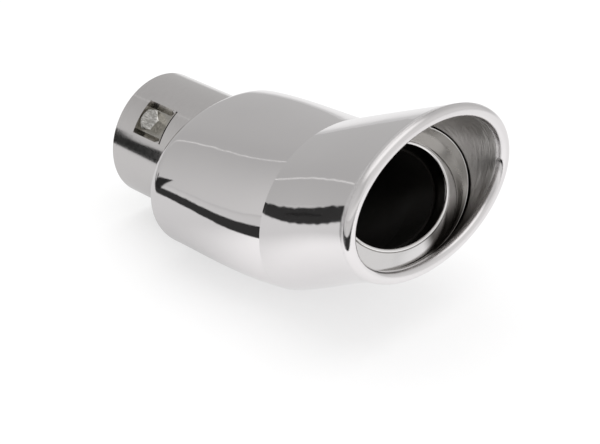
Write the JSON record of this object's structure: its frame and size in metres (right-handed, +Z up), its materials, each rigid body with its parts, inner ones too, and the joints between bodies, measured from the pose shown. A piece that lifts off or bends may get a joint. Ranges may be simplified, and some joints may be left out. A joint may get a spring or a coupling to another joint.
{
  "type": "exhaust tip",
  "caption": "Clamp-on exhaust tip with a round collar, flat-oval body and raised oval outlet with a rolled rim.",
  "frame": {"origin": "centre of the collar's open rear face", "axes": "+X along the collar's axis towards the outlet, +Z up, +Y across the width"},
  "size_m": [0.1785, 0.1088, 0.1081],
  "materials": {
    "polished_shell": "polished",
    "collar_steel": "satin",
    "inner_steel": "satin",
    "bolt_steel": "plated"
  },
  "bodies": {
    "root": {"inlet_collar": "collar_steel", "rear_shell": "polished_shell", "outlet_shell": "polished_shell", "inner_duct": "inner_steel", "inner_sleeve": "polished_shell", "clamp_bolt_1": "bolt_steel", "clamp_nut_1": "bolt_steel", "clamp_bolt_2": "bolt_steel", "clamp_nut_2": "bolt_steel", "clamp_bolt_3": "bolt_steel", "clamp_nut_3": "bolt_steel"}
  },
  "joints": []
}
